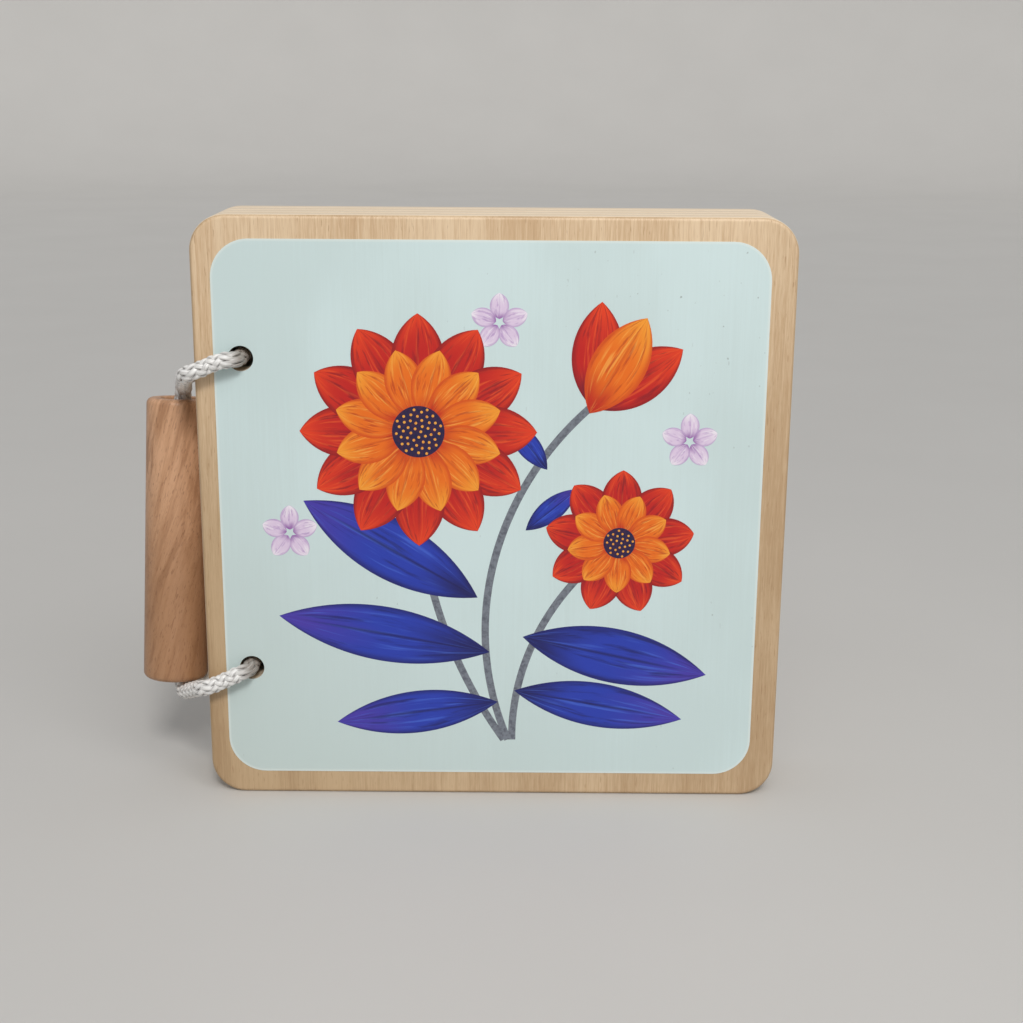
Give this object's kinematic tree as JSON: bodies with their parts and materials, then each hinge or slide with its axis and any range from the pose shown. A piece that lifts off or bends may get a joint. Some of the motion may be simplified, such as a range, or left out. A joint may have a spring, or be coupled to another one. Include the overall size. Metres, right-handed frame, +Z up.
{
  "type": "wooden book",
  "caption": "Square board book of thick plywood boards with rounded corners and printed faces, laced on a loop of braided cord through a turned dowel at the spine.",
  "frame": {"origin": "middle of the back cover's bottom edge face, on the surface that the book stands on", "axes": "+X from the spine edge to the fore edge, +Z up, -Y the way the front cover faces"},
  "size_m": [0.1588, 0.0348, 0.143],
  "materials": {
    "birch_board": "sanded birch plywood, clear matt varnish",
    "beech_dowel": "turned beech, waxed",
    "white_cord": "glossy braided cord",
    "print_mint": "satin ink over wood grain",
    "print_red": "satin ink",
    "print_orange": "satin ink",
    "print_blue": "satin ink",
    "print_navy": "satin ink",
    "print_grey": "satin ink",
    "print_lilac": "satin ink"
  },
  "bodies": {
    "back_board": {"back_cover": "birch_board", "inner_back_field": "print_mint", "binding_cord": "white_cord"},
    "rear_page": {"page_board_2": "birch_board", "page_2_front_field": "print_mint", "page_2_back_field": "print_mint"},
    "front_page": {"page_board_1": "birch_board", "page_1_front_field": "print_mint", "page_1_back_field": "print_mint"},
    "front_board": {"front_cover": "birch_board", "inner_cover_field": "print_mint", "cover_field": "print_mint", "cover_leaves": "print_blue", "cover_stems": "print_grey", "cover_petals_red": "print_red", "cover_petals_orange": "print_orange", "cover_hearts": "print_navy", "cover_blossoms": "print_lilac"},
    "dowel": {"spine_dowel": "beech_dowel"}
  },
  "joints": [
    {"name": "page_2_turn", "type": "hinge", "parent": "back_board", "child": "rear_page", "pos_m": [-0.07, -0.0222, 0], "axis": [0, 0, -1], "range_deg": [0, 180], "deforming": ["binding_cord"]},
    {"name": "page_1_turn", "type": "hinge", "parent": "rear_page", "child": "front_page", "pos_m": [-0.07, -0.0222, 0], "axis": [0, 0, -1], "range_deg": [0, 180], "deforming": ["binding_cord"]},
    {"name": "front_cover_turn", "type": "hinge", "parent": "front_page", "child": "front_board", "pos_m": [-0.07, -0.0222, 0], "axis": [0, 0, -1], "range_deg": [0, 180], "deforming": ["binding_cord"]},
    {"name": "dowel_spin", "type": "hinge", "parent": "back_board", "child": "dowel", "pos_m": [-0.07959, -0.0044, 0.0608], "axis": [0.0364, 0.1149, 0.9927], "continuous": true}
  ]
}
